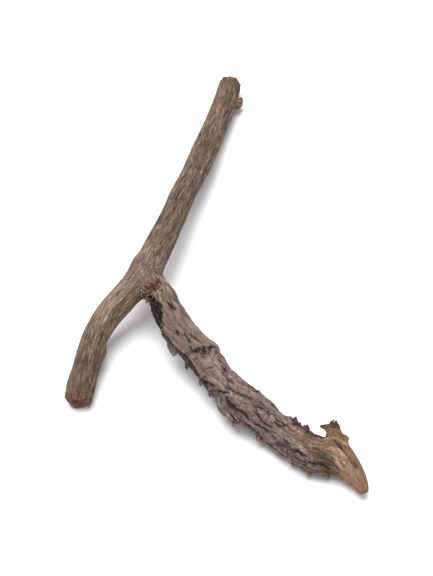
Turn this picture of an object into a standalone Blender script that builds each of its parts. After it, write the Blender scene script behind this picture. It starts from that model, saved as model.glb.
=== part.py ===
"""A dried madder root that forks once, lying over a low arch on three low points.

The main root runs from its broken upper end down to its broken lower end, with fine ridges
along it. The side root leaves it at the fork, wears a thick cracked bark with loose flakes,
and ends in a bare wooden wedge. Both grew as one piece, so they make one solid.
"""

import math

import bmesh
import bpy
import numpy as np
from mathutils import Vector

MM = 0.001
TURN = math.tau
NODE = "madder_root"

# The axis of each limb, set by hand: x, y, height and half width there, in mm.
MAIN_AXIS = (
    (4.5, 61.9, 2.9, 3.05),
    (2.7, 53.6, 2.95, 3.14),
    (0.2, 43.7, 3.6, 3.12),
    (-3.2, 30.2, 5.3, 3.12),
    (-7.2, 17.2, 7.2, 3.11),
    (-10.2, 6.1, 8.4, 3.19),
    (-13.4, -3.6, 9.0, 3.28),
    (-17.5, -13.0, 8.9, 3.22),
    (-20.8, -17.3, 8.1, 3.08),
    (-23.5, -20.5, 6.9, 3.02),
    (-25.9, -24.7, 5.4, 2.85),
    (-26.9, -28.4, 4.2, 2.92),
    (-27.7, -31.9, 3.2, 2.9),
    (-28.6, -36.3, 2.75, 2.99),
    (-29.0, -40.2, 2.4, 2.82),
)
SIDE_AXIS = (
    (-15.9, -8.6, 8.6, 2.58),
    (-13.5, -13.3, 8.9, 3.14),
    (-11.4, -17.2, 9.1, 3.49),
    (-9.7, -21.8, 8.9, 3.81),
    (-6.9, -25.9, 8.3, 3.74),
    (-2.8, -31.0, 7.3, 3.63),
    (0.2, -35.0, 6.5, 3.46),
    (3.2, -39.4, 5.8, 3.8),
    (6.0, -42.3, 5.2, 4.0),
    (9.0, -44.6, 4.7, 3.84),
    (12.3, -47.6, 4.2, 3.67),
    (17.4, -51.9, 3.8, 3.64),
    (21.6, -54.3, 3.5, 3.66),
    (25.0, -55.0, 3.5, 3.83),
    (27.1, -56.4, 3.3, 3.32),
    (28.7, -58.2, 2.95, 2.73),
    (30.1, -60.6, 2.6, 1.9),
    (30.8, -62.7, 2.3, 1.21),
)
AXIS_GAP = 0.25  # mm between the points that an axis is read at

MAIN_SIDES = 36
MAIN_RING_GAP = 1.5  # mm
SIDE_SIDES = 30
SIDE_RING_GAP = 1.0  # mm

FORK_BLEND = 3.0  # mm over which the two limbs flow into each other
SHORTEST_EDGE = 0.25  # mm, at the fork
WEDGE_START = 62.0  # mm along the side root, where the wedge begins
WEDGE_FLATNESS = 0.5  # height over width at the wedge's tip
# Where the side root's bark stops: turn (degrees) and along (mm), round the root
BARK_END = (
    (-140, 58.0),
    (-90, 53.0),
    (-30, 52.0),
    (0, 53.0),
    (20, 57.0),
    (40, 60.0),
    (76, 61.5),
    (118, 64.0),
    (160, 62.0),
)
LIP_HEIGHT = 0.35  # mm that the bark curls up beside that end
LIP_SETBACK = 1.2  # mm
LIP_REACH = 1.6  # mm

# The ledge across the side root's upper face: bark rises up to it and drops behind it
LEDGE_AT = 27.4  # mm along
LEDGE_TURN = 10  # degrees
LEDGE_REACH = 70  # degrees to each side
LEDGE_RUN = 8.0  # mm before and after it
LEDGE_HEIGHT = 0.45  # mm, up before it and down after it

RIBS = 9  # round the main root
RIB_HEIGHT = 0.17  # mm

# Marks on each limb: along (mm), turn (degrees), their reach both ways (mm, degrees), height (mm)
MAIN_MARKS = (
    (93.8, -75, 1.4, 34, -0.55),  # crease inside the bend
    (96.5, -92, 2.4, 40, 0.4),  # heel below it
)
SIDE_MARKS = (
    (12.3, 92, 4.2, 46, -1.0),  # scar hollow under the crotch
    (27.2, -66, 1.7, 34, 0.6),  # corner of the ledge
    (36.4, 92, 1.3, 40, -1.0),  # notch
    (40.0, 110, 3.0, 46, 0.7),  # shelf below it
    (66.8, -22, 3.0, 9, -0.5),  # crease in the wedge
)

# Bark flakes on the side root: along (mm), turn (degrees), length, width, lift (mm), heading (degrees
# from straight along the root)
FLAKES = (
    (20.6, 80, 3.2, 4.2, 1.5, 70),
    (24.6, 92, 2.8, 2.8, 0.8, 30),
    (29.2, 96, 3.2, 3.0, 0.8, 0),
    (38.5, 112, 4.0, 3.6, 0.9, 0),
    (46.6, 110, 2.4, 2.6, 0.6, 0),
    (54.9, 124, 2.4, 2.6, 0.8, 0),
    (58.0, 127, 2.4, 2.6, 0.8, 0),
    (62.6, 125, 2.4, 2.8, 1.0, 0),
    (49.8, -60, 3.0, 3.4, 1.6, 0),
    (53.4, -62, 3.0, 3.2, 1.3, 0),
)
# The torn flap at the root of the wedge, standing on edge: forward and off the skin (mm)
FLAP_PLACE = (63.4, -51)
FLAP_OUTLINE = (
    (-1.7, -1.0),
    (-1.7, 0.3),
    (-2.2, 1.2),
    (-3.2, 1.5),
    (-3.3, 2.0),
    (-1.9, 2.3),
    (-0.8, 3.4),
    (0.6, 2.5),
    (1.2, 1.2),
    (2.8, 0.9),
    (3.4, -1.0),
)
FLAP_THICKNESS = 0.8  # mm

# Crumbs: along (mm), turn (degrees), radius, lift (mm)
CROTCH_CRUMBS = (
    (4.5, -6, 1.0, 0.1),
    (6.5, 30, 0.9, 0.1),
    (6.0, 62, 1.0, 0.2),
    (8.5, 80, 0.8, 0.1),
)
BUD = (6.5, -100, 1.2, 0.4)


def ease(t):
    """From 0 to 1 with a level start and end."""
    t = np.clip(t, 0, 1)
    return t * t * (3 - 2 * t)


def lattice(along, around, seed, length, count):
    """Smooth random relief from -1 to 1: heights `length` mm apart and `count` round, eased between."""
    heights = np.random.default_rng(seed).uniform(-1, 1, (256, count))
    row = along / length + 8
    column = around / TURN * count
    low_row = np.floor(row).astype(int)
    low_column = np.floor(column).astype(int)
    up = ease(row - low_row)
    over = ease(column - low_column)

    def height(r, c):
        return heights[r % 256, c % count]

    near = height(low_row, low_column) * (1 - over) + height(low_row, low_column + 1) * over
    far = height(low_row + 1, low_column) * (1 - over) + height(low_row + 1, low_column + 1) * over
    return near * (1 - up) + far * up


def plates(along, around, seed, length, count):
    """Bark plates round jittered centres: the level of the nearest one, and how far its edge is."""
    rng = np.random.default_rng(seed)
    jitter = rng.uniform(-0.42, 0.42, (256, count, 2))
    levels = rng.uniform(-1, 1, (256, count))
    row = along / length + 8
    column = around / TURN * count
    best = np.full(np.shape(row), 9.0)
    second = best.copy()
    level = np.zeros_like(best)
    for step in range(9):
        r = np.floor(row).astype(int) + step // 3 - 1
        c = np.floor(column).astype(int) + step % 3 - 1
        shift = jitter[r % 256, c % count]
        gap = np.hypot(row - r - 0.5 - shift[..., 0], column - c - 0.5 - shift[..., 1])
        level = np.where(gap < best, levels[r % 256, c % count], level)
        second = np.where(gap < best, best, np.minimum(second, gap))
        best = np.minimum(best, gap)
    return level, second - best


def spot(along, around, at, turn, long, wide):
    """1 at one place on a limb and 0 away from it: `at` and `long` in mm, `turn` and `wide` in degrees."""
    off = (np.degrees(around) - turn + 180) % 360 - 180
    return np.exp(-(((along - at) / long) ** 2) - (off / wide) ** 2)


def marks(along, around, table):
    """The relief of all the marks in a table, in mm."""
    return sum(height * spot(along, around, *place) for *place, height in table)


def main_relief(along, around):
    """Ridges of the main root, in mm: long ribs that wander round it, over slow swellings."""
    wander = around + 0.006 * along + 0.2 * lattice(along, around, 11, 15, 3)
    fade = 0.75 + 0.25 * lattice(along, around, 14, 9, 5)
    ribs = RIB_HEIGHT * fade * np.cos(RIBS * wander) + 0.16 * lattice(along, wander, 12, 14, 13)
    swell = 0.15 * lattice(along, around, 13, 8, 4)
    return ribs + swell + marks(along, around, MAIN_MARKS)


def past_bark(along, around):
    """How far past the slanting end of the side root's bark a place is, in mm."""
    turns, ends = zip(*BARK_END)
    return along - np.interp(np.degrees(around), turns, ends, period=360)


def side_relief(along, around):
    """Bark of the side root, in mm: slow swellings, cracked plates at different levels, and its breaks."""
    rough = ease((along - 20) / 14)
    barked = 1 - ease(past_bark(along, around) / 2)
    wander = around + 0.15 * lattice(along, around, 21, 9, 4)
    level, edge = plates(along, wander, 22, 7, 8)
    crack = np.exp(-((edge / 0.2) ** 2))
    bark = (0.14 + 0.16 * rough) * level - (0.15 + 0.2 * rough) * crack
    grain = 0.12 * np.cos(RIBS * around + 0.1 * along)
    swell = 0.18 * lattice(along, around, 23, 7, 5)
    return swell + barked * bark + (1 - barked) * (grain - 0.15) + side_breaks(along, around)


def side_breaks(along, around):
    """The side root's own breaks, in mm: its marks, the ledge, and the lip at the end of its bark."""
    beyond = (along - LEDGE_AT) / LEDGE_RUN
    step = np.where(beyond < 0, ease(beyond + 1), ease(beyond) - 1)
    upper = spot(0 * along, around, 0, LEDGE_TURN, 1, LEDGE_REACH)
    lip = np.exp(-(((past_bark(along, around) + LIP_SETBACK) / LIP_REACH) ** 2))
    return LEDGE_HEIGHT * step * upper + LIP_HEIGHT * lip + marks(along, around, SIDE_MARKS)


class Limb:
    """One root along its own axis: `along` in mm from its start, `around` in radians from its top."""

    def __init__(self, axis, relief, wedge_from=None):
        points = np.array(axis)
        gaps = np.linalg.norm(np.diff(points[:, :3], axis=0), axis=1)
        knots = np.concatenate([[0], np.cumsum(gaps)])
        slopes = np.gradient(points, knots, axis=0)
        self.along = np.linspace(0, knots[-1], int(knots[-1] / AXIS_GAP))
        low = np.clip(np.searchsorted(knots, self.along, "right") - 1, 0, len(gaps) - 1)
        span = gaps[low][:, None]
        t = (self.along - knots[low])[:, None] / span
        read = (1 + 2 * t) * (1 - t) ** 2 * points[low] + t * (1 - t) ** 2 * span * slopes[low]
        read += t * t * (3 - 2 * t) * points[low + 1] + t * t * (t - 1) * span * slopes[low + 1]
        self.centre = read[:, :3]
        self.radius = read[:, 3]
        self.forward = self.unit(np.gradient(self.centre, axis=0))
        self.up = self.unit([0, 0, 1] - self.forward * self.forward[:, 2:])
        self.across = np.cross(self.forward, self.up)
        self.relief = relief
        self.wedge_from = wedge_from
        self.length = self.along[-1]

    @staticmethod
    def unit(rows):
        return rows / np.linalg.norm(rows, axis=-1, keepdims=True)

    def read(self, values, along):
        """The axis's own values at these places."""
        return np.stack([np.interp(along, self.along, column) for column in values.T], axis=-1)

    def flatness(self, along):
        """Height over width of the section: round, but for the wedge."""
        if self.wedge_from is None:
            return np.ones_like(along)
        return 1 - (1 - WEDGE_FLATNESS) * ease((along - self.wedge_from) / (self.length - self.wedge_from))

    def surface(self, along, around, lift=0.0, share=1.0):
        """The points at these places, `lift` mm off the skin, at `share` of the way out from the axis."""
        inside = np.clip(along, 0, self.length)
        past = (along - inside)[..., None] * self.read(self.forward, inside)
        reach = np.interp(inside, self.along, self.radius) + self.relief(along, around) + lift
        reach = (reach * share)[..., None]
        flat = self.flatness(inside)[..., None]
        rise = np.cos(around)[..., None] * flat * self.read(self.up, inside)
        swing = np.sin(around)[..., None] * self.read(self.across, inside)
        return self.read(self.centre, inside) + past + reach * (rise + swing)

    def locate(self, points):
        """Where each point lies: along, around, its distance off the skin, and the way straight out."""
        gaps = np.linalg.norm(points[:, None] - self.centre[None], axis=2)
        nearest = gaps.argmin(axis=1)
        along = self.along[nearest]
        out = points - self.centre[nearest]
        rise = (out * self.up[nearest]).sum(axis=1)
        swing = (out * self.across[nearest]).sum(axis=1)
        around = np.arctan2(swing, rise)
        distance = gaps.min(axis=1) - self.radius[nearest] - self.relief(along, around)
        return along, around, distance, self.unit(out)


def end_rings(length, gap, blunt, tear):
    """Rings from end to end of a limb: place along it, share of its radius, and how far it is torn."""
    last = length - blunt
    middle = np.linspace(blunt, last, int((last - blunt) / gap))
    start = [(0.5 * blunt, 0.3, tear), (0, 0.7, tear), (0.3 * blunt, 0.95, tear)]
    end = [(length - 0.3 * blunt, 0.95, tear), (length, 0.7, tear), (length - 0.5 * blunt, 0.3, tear)]
    return np.array(start + [(at, 1, 0) for at in middle] + end)


def limb_object(name, limb, sides, gap, blunt, tear):
    """A grid wrapped round a limb and closed at both ends, whose last rings are torn to and fro along it."""
    rings = end_rings(limb.length, gap, blunt, tear)
    work = bmesh.new()
    bmesh.ops.create_grid(work, x_segments=len(rings) - 1, y_segments=sides, size=0.5)
    flat = np.array([vert.co for vert in work.verts])
    ring = np.rint((flat[:, 0] + 0.5) * (len(rings) - 1)).astype(int)
    around = (flat[:, 1] + 0.5) * TURN
    along, share, torn = rings[ring].T
    along = along + torn * lattice(along, around, 31, 40, 9)
    places = limb.surface(along, around, share=share) * MM
    for vert, place in zip(work.verts, places):
        vert.co = place
    bmesh.ops.remove_doubles(work, verts=work.verts, dist=1e-6)
    bmesh.ops.holes_fill(work, edges=work.edges, sides=0)
    return object_from(work, name)


def object_from(work, name):
    """A mesh object from a bmesh, with its faces turned outwards."""
    bmesh.ops.triangulate(work, faces=work.faces)
    bmesh.ops.recalc_face_normals(work, faces=work.faces)
    mesh = bpy.data.meshes.new(name)
    work.to_mesh(mesh)
    work.free()
    made = bpy.data.objects.new(name, mesh)
    collection.objects.link(made)
    return made


def flake(limb, at, turn, length, width, lift, heading, thick=0.7):
    """A bark flake: a pointed blade sunk in the skin at one end, which lifts off it towards the other."""
    work = bmesh.new()
    bmesh.ops.create_grid(work, x_segments=3, y_segments=2, size=0.5)
    bmesh.ops.solidify(work, geom=work.faces, thickness=1)
    flat = np.array([vert.co for vert in work.verts])
    run = flat[:, 0] + 0.5
    forward = run * length
    sideways = width * (1 - 0.55 * run**2) * flat[:, 1]
    way = math.radians(heading)
    along = at + math.cos(way) * forward - math.sin(way) * sideways
    swing = math.sin(way) * forward + math.cos(way) * sideways
    around = math.radians(turn) + swing / np.interp(at, limb.along, limb.radius)
    top = flat[:, 2] > flat[:, 2].mean()
    height = lift * run**1.4 - 0.9 * (1 - run) + np.where(top, 0, -thick)
    places = limb.surface(along, around, lift=height) * MM
    for vert, place in zip(work.verts, places):
        vert.co = place
    return object_from(work, "flake")


def flap(limb, at, turn, outline, thick):
    """A torn flap that stands on edge along the limb: a flat outline given its thickness."""
    places = np.array([float(at)]), np.radians([float(turn)])
    foot = limb.surface(*places)[0]
    out = limb.unit(foot - limb.read(limb.centre, places[0])[0])
    forward = limb.read(limb.forward, places[0])[0]
    sideways = np.cross(forward, out) * thick / 2
    work = bmesh.new()
    near = [work.verts.new((foot + run * forward + rise * out - sideways) * MM) for run, rise in outline]
    face = work.faces.new(near)
    far = bmesh.ops.extrude_face_region(work, geom=[face])["geom"]
    moved = [piece for piece in far if isinstance(piece, bmesh.types.BMVert)]
    bmesh.ops.translate(work, verts=moved, vec=Vector(2 * sideways * MM))
    return object_from(work, "flap")


def crumb(limb, at, turn, size, lift, seed):
    """A crumb of bark or scar: an uneven lump sunk in the skin."""
    rng = np.random.default_rng(seed)
    work = bmesh.new()
    bmesh.ops.create_icosphere(work, subdivisions=1, radius=size * MM)
    centre = limb.surface(np.array([float(at)]), np.radians([float(turn)]), lift=lift)[0] * MM
    for vert in work.verts:
        vert.co = centre + np.array(vert.co) * rng.uniform(0.75, 1.25, 3)
    return object_from(work, "crumb")


def join(base, others, solver="EXACT"):
    """One Boolean union of the base with all the others, applied, which are then removed."""
    pieces = bpy.data.collections.new("joined")
    for other in others:
        pieces.objects.link(other)
    union = base.modifiers.new("union", "BOOLEAN")
    union.operation = "UNION"
    union.operand_type = "COLLECTION"
    union.collection = pieces
    union.solver = solver
    graph = bpy.context.evaluated_depsgraph_get()
    mesh = bpy.data.meshes.new_from_object(base.evaluated_get(graph))
    base.modifiers.remove(union)
    base.data = mesh
    for other in others:
        bpy.data.objects.remove(other)
    bpy.data.collections.remove(pieces)


def blend_fork(root, main, side):
    """Rounds the fork: points near both limbs go where the smooth minimum of their two distances is nil."""
    work = bmesh.new()
    work.from_mesh(root.data)
    bmesh.ops.triangulate(work, faces=work.faces)
    places = np.array([vert.co for vert in work.verts]) / MM
    close = np.abs(main.locate(places)[2] - side.locate(places)[2]) < FORK_BLEND
    near = [vert for vert, is_near in zip(work.verts, close) if is_near]
    short = {edge for vert in near for edge in vert.link_edges if edge.calc_length() < SHORTEST_EDGE * MM}
    bmesh.ops.dissolve_degenerate(work, dist=SHORTEST_EDGE * MM, edges=list(short))
    bmesh.ops.triangulate(work, faces=work.faces)
    near = [vert for vert in near if vert.is_valid]
    for _ in range(3):
        bmesh.ops.smooth_vert(
            work, verts=near, factor=0.5, use_axis_x=True, use_axis_y=True, use_axis_z=True
        )
        places = np.array([vert.co for vert in near]) / MM
        for _ in range(4):
            places -= fork_step(places, main, side)
        for vert, place in zip(near, places * MM):
            vert.co = place
    work.to_mesh(root.data)
    work.free()


def fork_step(places, main, side):
    """The step from each point towards the blended skin, where the two distances' smooth minimum is nil."""
    _, _, off_main, out_main = main.locate(places)
    _, _, off_side, out_side = side.locate(places)
    share = np.clip(0.5 + 0.5 * (off_side - off_main) / FORK_BLEND, 0, 1)
    off = off_main * share + off_side * (1 - share) - FORK_BLEND * share * (1 - share)
    slope = out_main * share[:, None] + out_side * (1 - share)[:, None]
    steep = np.maximum((slope**2).sum(axis=1), 0.3)
    return (off / steep)[:, None] * slope


def rest_on_floor(root):
    """Cuts off what dips below height 0, which leaves a small flat face at each low point."""
    work = bmesh.new()
    work.from_mesh(root.data)
    everything = list(work.verts) + list(work.edges) + list(work.faces)
    cut = bmesh.ops.bisect_plane(work, geom=everything, dist=1e-7, plane_no=(0, 0, -1), clear_outer=True)
    rim = [piece for piece in cut["geom_cut"] if isinstance(piece, bmesh.types.BMEdge)]
    bmesh.ops.edgeloop_fill(work, edges=rim)
    bmesh.ops.recalc_face_normals(work, faces=work.faces)
    work.to_mesh(root.data)
    work.free()


def bark_material():
    material = bpy.data.materials.new("bark")
    material.use_nodes = True
    shader = material.node_tree.nodes["Principled BSDF"]
    shader.inputs["Base Color"].default_value = (0.24, 0.175, 0.125, 1)
    shader.inputs["Roughness"].default_value = 0.85
    shader.inputs["Metallic"].default_value = 0
    return material


for old in list(bpy.data.objects):
    bpy.data.objects.remove(old)
collection = bpy.data.collections.new("Madder root")
bpy.context.scene.collection.children.link(collection)

main_root = Limb(MAIN_AXIS, main_relief)
side_root = Limb(SIDE_AXIS, side_relief, wedge_from=WEDGE_START)
root = limb_object(NODE, main_root, MAIN_SIDES, MAIN_RING_GAP, blunt=1.2, tear=1.0)
join(root, [limb_object("side root", side_root, SIDE_SIDES, SIDE_RING_GAP, blunt=0.8, tear=0.3)])
blend_fork(root, main_root, side_root)
loose = [flake(side_root, *row) for row in FLAKES]
loose += [crumb(side_root, *row, seed=41 + number) for number, row in enumerate(CROTCH_CRUMBS)]
loose.append(crumb(main_root, *BUD, seed=51))
loose.append(flap(side_root, *FLAP_PLACE, FLAP_OUTLINE, FLAP_THICKNESS))
join(root, loose)
rest_on_floor(root)
root.data.materials.append(bark_material())
root.data.shade_smooth()
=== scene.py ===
import math

import bmesh
import bpy
import numpy as np
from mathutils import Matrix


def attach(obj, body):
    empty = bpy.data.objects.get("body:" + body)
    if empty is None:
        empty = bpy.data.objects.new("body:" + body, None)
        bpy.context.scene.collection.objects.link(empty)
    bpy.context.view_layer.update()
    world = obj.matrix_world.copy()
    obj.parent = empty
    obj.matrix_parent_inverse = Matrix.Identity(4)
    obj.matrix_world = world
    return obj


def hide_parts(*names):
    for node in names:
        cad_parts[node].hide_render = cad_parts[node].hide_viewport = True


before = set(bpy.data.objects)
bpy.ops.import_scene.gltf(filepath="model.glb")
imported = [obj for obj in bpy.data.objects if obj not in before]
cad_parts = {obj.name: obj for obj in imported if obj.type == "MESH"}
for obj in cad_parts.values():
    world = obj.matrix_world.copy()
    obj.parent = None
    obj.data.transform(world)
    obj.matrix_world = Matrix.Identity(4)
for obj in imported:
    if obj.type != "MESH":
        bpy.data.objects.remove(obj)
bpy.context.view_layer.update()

# The root is one piece that grew as a long main root and a shorter side root, then dried until its skin
# shrank into furrows. The main root keeps a thin, finely ridged skin. The side root wears older bark that
# cracked into plates, and where it was torn off its wood is bare. Sizes are in mm until they enter a mesh.
MM = 0.001
TURN = math.tau

# x, y, height and half width of each limb's axis
MAIN_AXIS = (
    (4.5, 61.9, 2.9, 3.05),
    (2.7, 53.6, 2.95, 3.14),
    (0.2, 43.7, 3.6, 3.12),
    (-3.2, 30.2, 5.3, 3.12),
    (-7.2, 17.2, 7.2, 3.11),
    (-10.2, 6.1, 8.4, 3.19),
    (-13.4, -3.6, 9.0, 3.28),
    (-17.5, -13.0, 8.9, 3.22),
    (-20.8, -17.3, 8.1, 3.08),
    (-23.5, -20.5, 6.9, 3.02),
    (-25.9, -24.7, 5.4, 2.85),
    (-26.9, -28.4, 4.2, 2.92),
    (-27.7, -31.9, 3.2, 2.9),
    (-28.6, -36.3, 2.75, 2.99),
    (-29.0, -40.2, 2.4, 2.82),
)
SIDE_AXIS = (
    (-15.9, -8.6, 8.6, 2.58),
    (-13.5, -13.3, 8.9, 3.14),
    (-11.4, -17.2, 9.1, 3.49),
    (-9.7, -21.8, 8.9, 3.81),
    (-6.9, -25.9, 8.3, 3.74),
    (-2.8, -31.0, 7.3, 3.63),
    (0.2, -35.0, 6.5, 3.46),
    (3.2, -39.4, 5.8, 3.8),
    (6.0, -42.3, 5.2, 4.0),
    (9.0, -44.6, 4.7, 3.84),
    (12.3, -47.6, 4.2, 3.67),
    (17.4, -51.9, 3.8, 3.64),
    (21.6, -54.3, 3.5, 3.66),
    (25.0, -55.0, 3.5, 3.83),
    (27.1, -56.4, 3.3, 3.32),
    (28.7, -58.2, 2.95, 2.73),
    (30.1, -60.6, 2.6, 1.9),
    (30.8, -62.7, 2.3, 1.21),
)
AXIS_GAP = 0.25  # between the points that an axis is read at
FORK_BLEND = 3.0  # over which the two limbs flow into each other
FORK_ALONG = 81.0  # along the main root, where the side root's axis starts
WEDGE_START = 62.0
WEDGE_FLATNESS = 0.5  # height over width at the wedge's tip
DRAWN_ROWS = 256  # rows of random numbers that a relief is drawn from
FIRST_ROW = 8  # of them at a limb's start, so that places before it have some too


def ease(t):
    """From 0 to 1 with a level start and end: 3t² - 2t³."""
    t = np.clip(t, 0, 1)
    return t * t * (3 - 2 * t)


def bell(gap, wide):
    """1 where a gap is nil, and less as it grows: exp(-(gap / wide)²)."""
    return np.exp(-((gap / wide) ** 2))


def cells(along, around, length, count):
    """Each place's row and column in a net of cells `length` mm long and `count` round."""
    return along / length + FIRST_ROW, around / TURN * count


def lattice(along, around, seed, length, count):
    """Smooth random relief from -1 to 1: heights `length` mm apart and `count` round, eased between."""
    heights = np.random.default_rng(seed).uniform(-1, 1, (DRAWN_ROWS, count))
    row, column = cells(along, around, length, count)
    low_row = np.floor(row).astype(int)
    low_column = np.floor(column).astype(int)
    up = ease(row - low_row)
    over = ease(column - low_column)

    def height(r, c):
        return heights[r % DRAWN_ROWS, c % count]

    near = height(low_row, low_column) * (1 - over) + height(low_row, low_column + 1) * over
    far = height(low_row + 1, low_column) * (1 - over) + height(low_row + 1, low_column + 1) * over
    return near * (1 - up) + far * up


def plates(along, around, seed, length, count):
    """Plates round jittered centres: the nearest one's random level, how far its edge is, and its centre."""
    rng = np.random.default_rng(seed)
    jitter = rng.uniform(-0.42, 0.42, (DRAWN_ROWS, count, 2))
    levels = rng.uniform(-1, 1, (DRAWN_ROWS, count))
    row, column = cells(along, around, length, count)
    best = np.full(np.shape(row), 9.0)
    second = best.copy()
    level = np.zeros_like(best)
    for step in range(9):
        r = np.floor(row).astype(int) + step // 3 - 1
        c = np.floor(column).astype(int) + step % 3 - 1
        shift = jitter[r % DRAWN_ROWS, c % count]
        gap = np.hypot(row - r - 0.5 - shift[..., 0], column - c - 0.5 - shift[..., 1])
        level = np.where(gap < best, levels[r % DRAWN_ROWS, c % count], level)
        second = np.where(gap < best, best, np.minimum(second, gap))
        best = np.minimum(best, gap)
    return level, second - best, best


def furrows(along, around, seed, length, count, wide):
    """1 on thin lines that wander along a limb, 0 off them: the places where random relief crosses nil. Its
    height over its slope is how far off the line a place is, so lines stay thin where the relief is flat."""
    step = 0.15  # of a cell
    height = lattice(along, around, seed, length, count)
    uphill = lattice(along + step * length, around, seed, length, count) - height
    aside = lattice(along, around + step * TURN / count, seed, length, count) - height
    slope = np.hypot(uphill, aside) / step
    return bell(height / (slope + 0.3), wide)


def wrinkles(along, around, seed, length, count, twist, wide):
    """A net of furrows: two families wind opposite ways round a limb, `twist` radians a mm, and cross."""
    one = furrows(along, around + twist * along, seed, length, count, wide)
    other = furrows(along, around - twist * along, seed + 1, length, count, wide)
    return np.maximum(one, other)


def strength(along, around, seed, length, count):
    """A random share between a half and one."""
    return 0.75 + 0.25 * lattice(along, around, seed, length, count)


def turned(around, turn):
    """Degrees from one turn to each place, between -180 and 180."""
    return (np.degrees(around) - turn + 180) % 360 - 180


def spot(along, around, at, turn, long, wide):
    """1 at one place and 0 away from it, a bell of `long` mm and `wide` degrees."""
    return np.exp(-(((along - at) / long) ** 2) - (turned(around, turn) / wide) ** 2)


def marks(along, around, table):
    """The sum of a table's bells, each with its own height."""
    return sum(height * spot(along, around, *place) for *place, height in table)


def by_turn(around, table):
    """A value read from a table of turn and value that goes on round the limb."""
    turns, values = zip(*table)
    return np.interp(np.degrees(around), turns, values, period=360)


def line_gap(along, around, radius, line):
    """How far each place is, in mm over the skin, from a line through points given by along and turn, and
    which share of the line's points it is past."""
    middle = np.mean([turn for _, turn in line])
    swing = np.radians(turned(around, middle)) * radius
    gap = np.full(np.shape(swing), 99.0)
    share = np.zeros_like(gap)
    knots = [(at, math.radians(turn - middle) * radius) for at, turn in line]
    for step, ((x0, y0), (x1, y1)) in enumerate(zip(knots, knots[1:])):
        t = ((along - x0) * (x1 - x0) + (swing - y0) * (y1 - y0)) / ((x1 - x0) ** 2 + (y1 - y0) ** 2)
        t = np.clip(t, 0, 1)
        near = np.hypot(along - x0 - t * (x1 - x0), swing - y0 - t * (y1 - y0))
        share = np.where(near < gap, (step + t) / (len(line) - 1), share)
        gap = np.minimum(gap, near)
    return gap, share


RIBS = 9
RIB_HEIGHT = 0.17
MAIN_HALF = 3.1  # the main root's usual half width
# Marks: along, turn, their reach both ways, height
MAIN_MARKS = (
    (93.8, -75, 1.4, 34, -0.55),  # crease inside the bend
    (96.5, -92, 2.4, 40, 0.4),  # heel below it
    (88.0, -64, 0.9, 12, -0.35),  # pit
    (100.5, -30, 0.5, 7, -0.3),  # pit
    (105.4, -40, 0.6, 8, -0.25),  # pit
)
# Cracks: half width, depth, then their points by along and turn
MAIN_CRACKS = (
    (0.14, 0.15, (90.6, -30), (91.6, -33), (92.8, -38)),
    (0.16, 0.25, (92.8, -38), (94.2, -52), (93.6, -72)),
    (0.16, 0.25, (93.8, -48), (95.2, -40), (96.4, -43)),
)
DARK_WIDTH = 0.26  # half width from which a crack is as dark as it gets
STAIN_REACH = 0.8  # to each side of a crack


def cuts(along, around, radius, table, ragged):
    """Depth and darkness of a table's cracks, and the stain beside them: flat floors and steep walls, by the
    fourth power of the gap over a half width that narrows to each end of the crack."""
    cut = np.zeros(np.shape(along + around))
    dark = cut.copy()
    stain = cut.copy()
    for wide, deep, *line in table:
        gap, share = line_gap(along, around, radius, line)
        gap = np.maximum(gap + ragged, 0)
        here = np.exp(-((gap / wide / (0.45 + 0.75 * np.sin(math.pi * share))) ** 4))
        cut = np.maximum(cut, deep * here)
        dark = np.maximum(dark, here * min(1, wide / DARK_WIDTH))
        stain = np.maximum(stain, bell(gap, STAIN_REACH))
    return cut, dark, stain


# Depth and darkness of the main root's broad furrows, its net, the net's fine lines, and its pits. The
# darkness is partly their own colour and partly painted shade in them
BROAD, NET, FINE, PITS = (0.15, 0.5), (0.1, 0.55), (0.06, 0.35), (0.22, 0.9)


def main_skin(along, around):
    """Height, darkness and cracks of the main root's skin.

    Nine ribs are a cosine whose phase wanders, over slow swellings. Long furrows are cut between them, and
    short ones wind both ways round the root and cross, which leaves a net of little ridges. Small pits are
    dips at the centres of a few random plates.
    """
    here = (along, around)
    wander = around + 0.006 * along + 0.2 * lattice(*here, 11, 15, 3)
    height = RIB_HEIGHT * strength(*here, 14, 9, 5) * np.cos(RIBS * wander)
    height += 0.16 * lattice(along, wander, 12, 14, 13)
    height += 0.15 * lattice(*here, 13, 8, 4) + marks(*here, MAIN_MARKS)
    bent = wander + 0.12 * lattice(*here, 61, 8, 8)
    broad = furrows(along, bent, 62, 12, 20, 0.2) * (0.5 + 0.5 * lattice(*here, 65, 6, 6))
    net = wrinkles(along, bent, 63, 7, 30, 0.03, 0.19) * strength(*here, 67, 4, 9)
    fine = wrinkles(along, bent, 161, 4.5, 46, 0.045, 0.22) * strength(*here, 68, 3, 11)
    pocked, _, centre = plates(*here, 66, 3.0, 8)
    pits = (pocked > 0.82) * bell(centre, 0.13)
    kinds = ((BROAD, broad), (NET, net), (FINE, fine), (PITS, pits))
    cut, cut_dark, _ = cuts(*here, MAIN_HALF, MAIN_CRACKS, 0.1 * lattice(*here, 69, 0.7, 50))
    height -= sum(depth * lines for (depth, _), lines in kinds) + cut
    dark = sum(shade * lines for (_, shade), lines in kinds)
    return height, np.clip(dark, 0, 1), 0.7 * cut_dark


# Where the side root's bark stops and where its bare wood starts: turn and along, round the root
BARK_END = (
    (-140, 58.0), (-90, 53.0), (-30, 52.0), (0, 53.0), (20, 57.0),
    (40, 60.0), (76, 61.5), (118, 64.0), (160, 62.0),
)
WOOD_START = (
    (-120, 63.5), (-60, 62.5), (-10, 62.2), (12, 62.8), (26, 64.0),
    (38, 65.8), (70, 68.0), (110, 66.5), (180, 65.0),
)
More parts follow.
